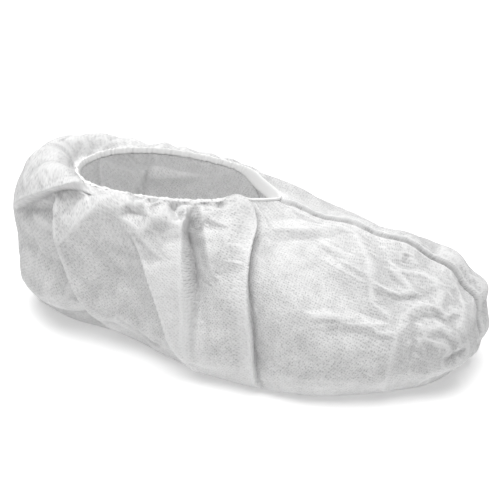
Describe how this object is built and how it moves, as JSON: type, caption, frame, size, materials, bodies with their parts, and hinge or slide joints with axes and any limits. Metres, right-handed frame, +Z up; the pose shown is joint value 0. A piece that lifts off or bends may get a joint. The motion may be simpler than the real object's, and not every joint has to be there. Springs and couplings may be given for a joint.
{
  "type": "non-skid shoe cover",
  "caption": "Slip-on shoe cover of white nonwoven fabric, sewn along its centre line and gathered round the foot opening by an elastic hem.",
  "frame": {"origin": "on the floor, under the middle of the cover's length and width", "axes": "+X to the toe, +Y to the wearer's left, +Z up out of the foot opening"},
  "size_m": [0.3246, 0.1514, 0.1248],
  "materials": {
    "panel_fabric": "matte point-bonded nonwoven",
    "hem_fabric": "matte folded nonwoven over elastic"
  },
  "bodies": {
    "root": {"right_panel": "panel_fabric", "left_panel": "panel_fabric", "elastic_hem": "hem_fabric"}
  },
  "joints": []
}
